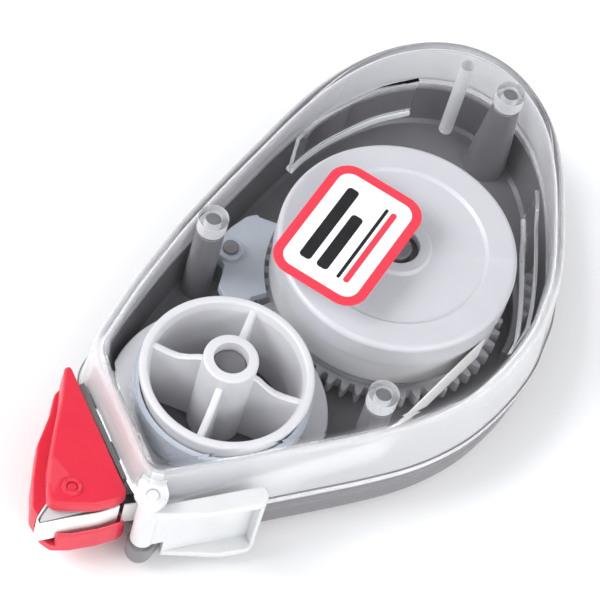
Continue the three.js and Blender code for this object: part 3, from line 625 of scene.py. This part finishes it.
cover = add(cover, rod(0.9, 3.2, 18.15, 25.0, 13.6, 32, 0.0), fin(fine(far), 10.2), bead(fine(far), 9.9), fin(fine(near), 10.2), bead(fine(near), 9.9),
    prism(rounded([(-49.5, -6.3, 1.2), (-49.7, -9.4, 1.4), (-46.7, -9.6, 1.4), (-44.9, -6.4), (-46.6, -4.6)], 10), 15.1, 16.7, 0.2))
cover = cut(cover, mouth(), window_(), notch(), rod(0.85, 14.0, 17.2, *HINGE))
# fins are polished above z 11.2; the tubes, the post, the lower fin edges with their beads and the hinge lug are
# frosted; the outer wall is textured
tree = kdtree.KDTree(len(OUT))
for i, p in enumerate(OUT):
    tree.insert((p[0], p[1], 0), i)
tree.balance()
for poly in cover.data.polygons:
    c = poly.center / S
    inner = 3 < c.z < 17.5 and c.x > -38 and tree.find((c.x, c.y, 0))[2] > 1.42
    tube = c.z > 15.1 and min(math.hypot(c.x - x, c.y - y) for x, y in SNAPS) < 2.0
    low_edge = c.z < 11.2 or math.hypot(c.x - 25.0, c.y - 13.6) < 1.2
    lug = math.hypot(c.x - HINGE[0], c.y - HINGE[1]) < 2.3
    poly.material_index = 2 if lug else (2 if tube or low_edge else 1) if inner else 0
finish(cover, "clear_cover", "case", "cover_shell", None, mats=[M_CLEAR, M_CLEARIN, M_FROST])

# --------------------------------------------------------------------- label
A = math.radians(16)
LU, LV, LC = (math.cos(A), math.sin(A)), (-math.sin(A), math.cos(A)), (-5.9, 3.8)
lp = lambda s, t, *r: (LC[0] + s * LU[0] + t * LV[0], LC[1] + s * LU[1] + t * LV[1], *r)


def label():
    v, f, mi = [], [], []

    def ring(pts, z):
        k = len(v)
        v.extend((p[0], p[1], z) for p in pts)
        return list(range(k, k + len(pts)))

    def between(a, b, m):
        n = len(a)
        for i in range(n):
            f.append((a[i], a[(i + 1) % n], b[(i + 1) % n], b[i]))
            mi.append(m)

    outer = ccw(rounded([lp(-9.4, -6.5, 3), lp(9.4, -6.5, 3), lp(9.4, 6.5, 3), lp(-9.4, 6.5, 3)], 12))
    z0, z1 = 18.77, 18.90
    r0 = ring(outer, z0)
    r1 = ring(outer, z1 - 0.03)
    r2 = ring(inset(outer, 0.04), z1)
    r3 = ring(inset(outer, 1.25), z1)
    f.append(tuple(reversed(r0)))
    mi.append(0)
    between(r0, r1, 1)
    between(r1, r2, 1)
    between(r2, r3, 1)
    f.append(tuple(r3))
    mi.append(0)

    def patch(pts, m):
        a = ring(pts, z1 - 0.01)
        b = ring(pts, z1 + 0.012)
        f.append(tuple(reversed(a)))
        mi.append(m)
        between(a, b, m)
        f.append(tuple(b))
        mi.append(m)

    bars = [(-6.2, 6.2, 1.9, 3.5, 2), (-6.2, 3.0, -0.55, 1.05, 2), (-6.2, 6.2, -2.35, -1.9, 2), (-6.2, 6.2, -3.6, -2.8, 1)]
    for s0, s1, t0, t1, m in bars:
        r = min(0.5, (t1 - t0) / 2.05)
        patch(ccw(rounded([lp(s0, t0, r), lp(s1, t0, r), lp(s1, t1, r), lp(s0, t1, r)], 6)), m)
    me = bpy.data.meshes.new("label")
    me.from_pydata([(x * S, y * S, z * S) for x, y, z in v], [], f)
    me.update()
    me.polygons.foreach_set("material_index", mi)
    ob = bpy.data.objects.new("label", me)
    scene.collection.objects.link(ob)
    return ob


finish(label(), "cover_sticker", "case", "cover_label", None, mats=[M_LABEL, M_LABELRED, M_LABELDARK])


# -------------------------------------------------------------- supply spool
def gear(teeth, phase, tip_b=0.10):
    pr = 0.3 * teeth
    tip, root, p, out = pr + 0.55, pr - 0.75, math.tau / teeth, []
    for i in range(teeth):
        c = phase + i * p
        for r, k in ((root, -0.34), (root + 0.12, -0.30), (pr, -0.215), (tip - 0.12, -0.135), (tip, -0.09), (tip, 0.09),
                     (tip - 0.12, 0.135), (pr, 0.215), (root + 0.12, 0.30), (root, 0.34)):
            out.append((r * math.cos(c + k * p), r * math.sin(c + k * p)))
    return out


drive = add(prism(gear(51, math.pi), 2.4, 4.4, 0.06, 2),
    lathe([(0, 3.2), (14.2, 3.2), (14.2, 5.2, 0.2), (0, 5.2)], 128),
    lathe([(12.2, 5.0), (14.0, 5.0), (14.0, 6.35, 0.25), (12.2, 6.35, 0.25)], 128),
    lathe([(0, 2.2), (4.4, 2.2, 0.2), (4.4, 12.5, 0.3), (0, 12.5)], 64))
drive = cut(drive, lathe([(5.6, 1.0), (12.0, 1.0), (12.0, 2.9, 0.3), (5.6, 2.9, 0.3)], 96), rod(1.96, 1.0, 14.0, n=48))
finish(drive, "drive_gear", "supply_drive", "supply_gear", M_GEAR_PAINTED_SHADE)

outer, inner = [], []
for k in range(121):
    w = 0.25 + (math.tau - 0.5) * k / 120
    wave = 0.14 * math.cos(5 * w)
    outer.append(((5.55 + wave) * math.cos(w), (5.55 + wave) * math.sin(w)))
    inner.append(((5.05 + wave) * math.cos(w), (5.05 + wave) * math.sin(w)))
finish(prism(outer + inner[::-1], 7.2, 11.6, 0.06, 2), "friction_ring", "supply_drive", "clutch_spring", M_STEEL)
finish(lathe([(6.2, 6.75, 0.15), (7.6, 6.75, 0.15), (7.6, 12.5, 0.15), (6.2, 12.5, 0.15)], 96), "tape_core", "supply_reel", "supply_core", M_WHITE)
finish(lathe([(7.9, 6.8, 0.08), (14.9, 6.8, 0.12), (14.9, 11.0, 0.12), (7.9, 11.0, 0.08)], 160), "tape_roll", "supply_reel", "correction_tape_roll", M_ROLL)
finish(lathe([(2.7, 14.1, 0.1), (6.3, 14.1, 0.15), (6.3, 12.85, 0.1), (7.5, 12.85, 0.1), (7.5, 14.1, 0.15), (14.05, 14.1, 0.4), (14.1, 11.35, 0.15),
    (15.2, 11.35, 0.2), (15.2, 15.4, 0.75), (11.5, 15.4, 0.25), (11.1, 15.0, 0.25), (4.3, 15.0, 0.2), (4.1, 15.5, 0.18), (2.7, 15.5, 0.18)], 160, steps=6),
    "reel_flange", "supply_reel", "supply_flange", M_REEL)

# ------------------------------------------------------------- take-up spool
spool = add(prism(gear(44, math.pi / 44), 2.2, 4.7, 0.06, 2),
    lathe([(0, 4.6), (13.75, 4.6, 0.15), (13.75, 5.6, 0.3), (0, 5.6)], 160),
    lathe([(8.9, 5.0), (10.1, 5.0), (10.1, 12.4, 0.5), (10.75, 12.9, 0.25), (10.75, 13.8, 0.42), (9.75, 13.8, 0.35), (9.35, 12.6, 1.0), (8.9, 7.0)], 160, steps=6),
    lathe([(0, 2.2), (3.4, 2.2, 0.2), (3.4, 16.8, 0.35), (0, 16.8)], 80))
spool = cut(spool, lathe([(3.4, 1.0), (8.95, 1.0), (8.95, 6.0), (3.4, 6.0)], 144))
for deg in (118, 28, 298, 208):
    w = math.radians(deg)
    prof = [(2.6, 2.4), (9.4, 2.4), (9.6, 13.2), (8.6, 13.05), (7.4, 12.85), (6.2, 12.9), (5.0, 13.5), (4.0, 14.3), (3.3, 14.6), (2.6, 14.6)]
    hw = lambda r, z: 0.42 + 0.035 * max(0, 13.5 - z)
    v, f, n = [], [], len(prof)
    for s in (-1, 1):
        for r, z in prof:
            h = hw(r, z) * s
            v.append((r * math.cos(w) - h * math.sin(w), r * math.sin(w) + h * math.cos(w), z))
    # rounded crest
    for s in (-1, 1):
        for r, z in prof[2:]:
            v.append((r * math.cos(w) - 0.2 * s * math.sin(w), r * math.sin(w) + 0.2 * s * math.cos(w), z + 0.18))
    top0, top1 = 2 * n, 2 * n + (n - 2)
    f.append(tuple(range(n)))
    f.append(tuple(reversed(range(n, 2 * n))))
    for i in (n - 1, 0, 1):
        j = (i + 1) % n
        f.append((i, i + n, j + n, j) if i != 1 else (i, i + n, j + n, j))
    # side faces are closed to the crest
    m = n - 2
    for i in range(m - 1):
        f.append((2 + i, 3 + i, top0 + i + 1, top0 + i))
        f.append((n + 2 + i, top1 + i, top1 + i + 1, n + 3 + i))
        f.append((top0 + i, top0 + i + 1, top1 + i + 1, top1 + i))
    f.append((2, top0, top1, n + 2))
    f.append((n - 1, 2 * n - 1, top1 + m - 1, top0 + m - 1))
    spool = add(spool, make("k", v, f))
spool = cut(spool, rod(2.16, 1.0, 18.0, n=56))
spool.data.transform(Matrix.Translation((TX * S, 0, 0)))
finish(spool, "rewind_spool", "takeup", "takeup_spool", M_WHITE)
finish(lathe([(10.4, 6.8, 0.06), (11.1, 6.8, 0.1), (11.1, 11.0, 0.1), (10.4, 11.0, 0.06)], 144, TX, 0), "used_film", "takeup", "used_film_wrap", M_FILMROLL)

# ---------------------------------------------------------------------- pawl
edge = arc((0, 0), 15.4, 1.9, 2.6, 36)
body = rounded([(-15.6, 8.4, 0.6), (-17.2, 9.2, 0.8), (-17.9, 10.7, 0.9), (-17.4, 12.4, 0.9), (-16.0, 13.3, 0.5), (-14.7, 14.3, 0.8), (-14.4, 16.2, 1.0),
                (-13.0, 17.4, 1.0), (-10.4, 17.9, 1.2), (-7.6, 17.9, 1.0), (-6.0, 17.2, 0.3)], 6)
pawl = prism(edge + body, 5.25, 6.55, 0.12)
a = 2.42
F = lambda r, w: (r * math.cos(w), r * math.sin(w))
pawl = add(pawl, prism([F(16.02, a), F(16.9, a - 0.05), F(17.9, a - 0.03), F(17.9, a + 0.07), F(16.9, a + 0.05)], 2.7, 5.6),
    rod(1.7, 5.25, 7.3, *PAWL, 48, 0.15))
pawl = cut(pawl, rod(1.06, 4.0, 9.0, *PAWL, 32))
finish(pawl, "ratchet_pawl", "pawl", "backstop_pawl", M_PAWL)

# ---------------------------------------------------------------------- nose
NOSE = ccw(even(rounded([
    (-42.05, 14.0, 0.5), (-48.5, -4.75, 0.8), (-50.2, -4.75, 1.2), (-52.6, -3.7, 3), (-55.2, -1.6, 2), (-56.9, -0.1, 1.1),
    (-55.3, 1.9, 2), (-52.9, 4.3, 3), (-49.8, 7.0, 4), (-46.4, 9.8, 3)], 14), 300))
NOSE_LOW = ccw(even(rounded([
    (-43.1, 12.4, 0.6), (-48.9, -5.5, 0.8), (-49.9, -5.5, 1.0), (-52.3, -4.65, 3), (-55.3, -3.15, 2), (-56.9, -1.9, 0.8), (-57.2, -0.6, 0.8),
    (-56.6, 2.0, 1.5), (-54.1, 4.8, 3), (-50.6, 8.1, 4), (-46.8, 10.3, 3), (-44.5, 12.1, 0.7)], 12), 300))
nz = lambda d: inset(NOSE, d)
lz = lambda d: inset(NOSE_LOW, d)
hollow = lambda z0, z1: prism([(-60, -9), (-41.5, -9), (-41.5, 8.6), (-44.0, 8.2), (-46.2, 7.2), (-48.9, 5.4), (-51.8, 3.3),
                               (-53.4, 2.1), (-53.9, 3.9), (-60, 3.9)], z0, z1)
low = stack([(lz(d), z) for d, z in [(0.3, 4.0), (0.12, 4.0), (-0.06, 4.06), (-0.22, 4.2), (-0.33, 4.42), (-0.36, 4.8), (-0.36, 7.5), (-0.30, 8.1), (-0.24, 8.3), (-0.12, 8.39), (0.0, 8.4), (0.25, 8.4)]])
fence = cut(prism(lz(-0.6), 4.2, 8.6), prism(lz(-0.08), 4.0, 9.0))
fence = boolean(fence, prism([(-56.75, -7), (-49.35, -7), (-49.35, -4), (-56.75, -1)], 4.0, 9.0), "INTERSECT")
channel = prism([(-60, -9), (-41.5, -9), (-41.5, 8.6), (-44.0, 8.2), (-46.2, 7.2), (-48.9, 5.4), (-51.8, 3.3),
                 (-53.4, 2.15), (-54.6, 1.85), (-57.9, 0.75), (-60, 0.4)], 5.7, 9)
low = cut(low, cut(channel, fence))
for x, y in ((-46.2, 5.2), (-47.6, 2.5)):
    low = add(low, rod(0.8, 5.0, 11.1, x, y, 32, 0.1))
low = add(low, rod(1.25, 4.6, 6.1, *PIVOT, 40, 0.1))
low = cut(low, rod(0.72, 4.9, 13.6, *PIVOT, 32))
finish(low, "nose_lower_half", "case", "nose_lower_cheek", M_RED, 14)
up = stack([(nz(d), z) for d, z in [(0.3, 8.7), (0.02, 8.7), (-0.08, 8.76), (-0.12, 8.9), (-0.05, 11.0), (0.0, 12.5), (0.03, 12.78), (0.11, 12.95), (0.22, 13.06), (0.36, 13.1), (0.42, 13.1)]])
up = cut(up, hollow(8, 11.4))
up = add(up, lathe([(0, 11.0), (1.25, 11.0), (1.25, 13.1), (1.22, 13.28, 0.1), (0, 13.28)], 48, *PIVOT))
up = cut(up, rod(0.72, 4.9, 13.6, *PIVOT, 32))
finish(up, "nose_upper_half", "case", "nose_upper_cheek", M_RED, 10)
neck = add(prism([NF(0.4, -3.9), NF(6.6, -3.9), NF(6.6, -2.3), NF(0.4, -2.3)], 6.1, 12.6, 0.15),
    # painted shadow: this thin near-black plate along the gap between the case and the nose stands in for the shade in
    # that gap
    stack([(ccw([NF(-4.6, a), NF(9.0, a - 0.2), NF(9.0, 0.12), NF(-4.6, 0.12)]), z) for a, z in ((-0.2, 9.3), (-0.5, 12.6), (-0.42, 12.75))]),
    prism([NF(1.5, -2.6), NF(5.4, -2.6), NF(5.4, 0.6), NF(1.5, 0.6)], 6.25, 11.1),
    prism(rounded([(*NF(0, 0.1), 0.3), (*NF(0, 3.3), 0.6), (-48.8, 4.6, 0.6), (-46.3, 6.5, 0.5), (*NF(5.7, 0.1), 0.3)], 5), 6.0, 11.1, 0.1))
for x, y in ((-46.2, 5.2), (-47.6, 2.5)):
    neck = cut(neck, rod(0.88, 5.0, 13.0, x, y, 32))
finish(neck, "neck_bracket", "case", "nose_neck", M_DARK)

# ----------------------------------------------------------------------- tip
wedge = rounded([(-58.15, -0.75, 0.08), (-58.2, -0.5, 0.08), (-57.7, -0.2, 0.3), (-54.0, 0.95, 0.8), (-51.8, 0.55, 0.8), (-49.4, -1.4, 0.6), (-49.1, -4.45, 0.6)], 6)
tip = add(prism(wedge, 6.5, 10.75, 0.12), rod(1.15, 6.4, 10.7, *PIVOT, 40, 0.1))
tip = cut(tip, rod(0.76, 5.0, 12.0, *PIVOT, 32))
finish(tip, "tip_wedge", "tip", "applicator_tip", M_FROST)
finish(lathe([(0, 5.0), (0.7, 5.0, 0.12), (0.7, 13.1, 0.2), (0, 13.12)], 40, *PIVOT), "tip_pin", "case", "tip_pivot_pin", M_RED)

# ------------------------------------------------------------- tape and film
r, g = 1.5, 2.3
s = tangent((0, 0), 15.2, SNAPS[1], g, 1)
m = tangent(SNAPS[1], g, ROLLER, r, 1)
end = (-49.0, -5.05)
k = tangent(ROLLER, r, end, 0.001, 1)


def run(a, b, n):
    return [(a[0] + (b[0] - a[0]) * i / n, a[1] + (b[1] - a[1]) * i / n) for i in range(n)]


feed = run(s[0], s[1], 14) + arc_between(SNAPS[1], g, s[1], m[0], 24, -1) + run(m[0], m[1], 20)[1:] + arc_between(ROLLER, r, m[1], k[0], 12, -1) + [end]
finish(strip(feed, 0.16, 6.8, 11.0, 4), "tape_run", "case", "tape_feed_run", M_TAPE)
loop = fine([(-49.45, -4.75), (-52.0, -3.97), (-55.0, -2.5), (-58.3, -0.95), (-58.5, -0.62), (-58.3, -0.18), (-57.7, 0.12), (-54.3, 1.3), (-53.6, 1.42),
             (-52.9, 1.3), (-51.5, 0.8), (-50.3, -0.05)], 5)
finish(strip(loop, 0.16, 6.65, 10.85, 4), "tape_over_tip", "tip", "tape_tip_loop", M_TAPE)
t = tangent((-49.9, -0.35), 0.001, (TX, 0), 11.4, -1)
finish(strip(run((-49.9, -0.35), t[1], 16) + [t[1]], 0.16, 6.8, 11.0, 4), "film_run", "case", "film_return_run", M_FILM)
finish(lathe([(0.66, 6.0, 0.05), (1.2, 6.0, 0.12), (1.2, 11.3, 0.12), (0.66, 11.3, 0.05)], 48, *ROLLER), "guide_roller_sleeve", "guide_roller", "front_guide_roller", M_WHITE)

# ----------------------------------------------------------------------- cap
CA = math.radians(-25.7)
CU, CV = (math.cos(CA), math.sin(CA)), (math.sin(CA), -math.cos(CA))
P = lambda u, v, *r: (HINGE[0] + u * CU[0] + v * CV[0], HINGE[1] + u * CU[1] + v * CV[1], *r)
T = 0.95
flange = rounded([P(2.3, 0.5, 0.15), P(14.1, 0.5, 1.0), P(14.1, 2.2, 1.3), P(12.8, 3.1, 1.3), P(9.2, 3.0, 3.0), P(2.3, 1.2, 0.3)], 10)
top = rounded([P(-1.2, 0.4, 0.8), P(14.1, 0.5, 1.0), P(14.1, 2.2, 1.3), P(12.8, 3.1, 1.3), P(6.4, 3.0, 3.0), P(2.3, 2.2), P(-1.0, 1.4, 0.8)], 10)
cap = add(prism(flange, 2.6, 2.6 + T, 0.25),
    prism(top, 14.7 - T, 14.7, 0.25, r1=0.35, steps=4),
    prism([P(0.4, 0.53), P(13.3, 0.53), P(13.3, 1.13), P(0.4, 1.13)], 5.95, 14.45),
    prism([P(2.4, 0.53), P(13.3, 0.53), P(13.3, 1.13), P(2.4, 1.13)], 2.85, 6.2),
    prism(rounded([P(13.15, 0.57), P(13.5, 0.66), P(13.8, 0.98), P(13.97, 1.4), P(13.97, 2.1, 0.3), P(13.15, 2.75, 0.2)], 4), 2.85, 14.4),
    rod(1.45, 5.95, 14.7, *HINGE, 56, 0.15))
cap = cut(cap, rod(0.86, 1.0, 16.0, *HINGE, 40))
finish(cap, "end_cap", "cap", "tip_cap", M_CAP)
finish(lathe([(0, 3.3), (0.8, 3.3, 0.15), (0.8, 16.6, 0.25), (0, 16.62)], 40, *HINGE), "hinge_pin", "case", "cap_hinge_pin", M_WHITE)

# ------------------------------------------------------------ floor and light
bpy.ops.mesh.primitive_plane_add(size=6, location=(0, 0, -0.00002))
floor = bpy.context.object
floor.name = "floor"
fm, nt, out = nodes_of("floor_paper")
b = nt.nodes.new("ShaderNodeBsdfPrincipled")
b.inputs["Base Color"].default_value = (0.90, 0.90, 0.905, 1)
b.inputs["Roughness"].default_value = 0.85
b.inputs["Specular IOR Level"].default_value = 0.1
nt.links.new(b.outputs[0], out.inputs["Surface"])
floor.data.materials.append(fm)

world = bpy.data.worlds.new("studio")
scene.world = world
world.use_nodes = True
nt = world.node_tree
nt.nodes.clear()
out = nt.nodes.new("ShaderNodeOutputWorld")
bg = nt.nodes.new("ShaderNodeBackground")
tc = nt.nodes.new("ShaderNodeTexCoord")
dot = nt.nodes.new("ShaderNodeVectorMath")
dot.operation = "DOT_PRODUCT"
nt.links.new(tc.outputs["Generated"], dot.inputs[0])
dot.inputs[1].default_value = (0.4645, 0.2932, 0.8357)
shade = ranged(nt, dot.outputs["Value"], 0.70, 0.97, 1.0, 0.16)
nt.links.new(shade, bg.inputs["Strength"])
bg.inputs["Color"].default_value = (0.97, 0.98, 1.0, 1)
nt.links.new(bg.outputs[0], out.inputs["Surface"])


def softbox(name, where, size, power, aim=(-0.01, 0, 0.008)):
    d = bpy.data.lights.new(name, "AREA")
    d.shape, d.size, d.size_y, d.energy = "RECTANGLE", size[0], size[1], power
    o = bpy.data.objects.new(name, d)
    o.location = where
    o.rotation_mode = "QUATERNION"
    o.rotation_quaternion = (Vector(aim) - Vector(where)).to_track_quat("-Z", "Y")
    scene.collection.objects.link(o)
    return o


softbox("key", (-0.45, 0.42, 0.55), (0.5, 0.35), 5.0)
softbox("fill", (-0.05, -0.62, 0.42), (0.6, 0.25), 2.5)

# --------------------------------------------------------------------- camera
az, el, roll = math.radians(-57.74), math.radians(56.69), math.radians(17.76)
back = Vector((math.sin(az) * math.cos(el), -math.cos(az) * math.cos(el), math.sin(el)))
right = Vector((math.cos(az), math.sin(az), 0))
upv = back.cross(right)
R = math.cos(roll) * right + math.sin(roll) * upv
U = -math.sin(roll) * right + math.cos(roll) * upv
cam_data = bpy.data.cameras.new("camera")
cam = bpy.data.objects.new("camera", cam_data)
scene.collection.objects.link(cam)
cam_data.sensor_width, cam_data.lens = 36.0, 197.777
cam_data.clip_start, cam_data.clip_end = 0.01, 50
loc = (back * 421.9 + R * -9.55 + U * 1.42) * S
cam.matrix_world = Matrix(((R.x, U.x, back.x, loc.x), (R.y, U.y, back.y, loc.y), (R.z, U.z, back.z, loc.z), (0, 0, 0, 1)))
scene.camera = cam

scene.view_settings.view_transform = "Standard"
scene.view_settings.look = "None"
c = scene.cycles
c.max_bounces, c.diffuse_bounces, c.glossy_bounces, c.transmission_bounces, c.transparent_max_bounces = 14, 4, 4, 12, 24
c.caustics_reflective = c.caustics_refractive = False
c.use_denoising = True
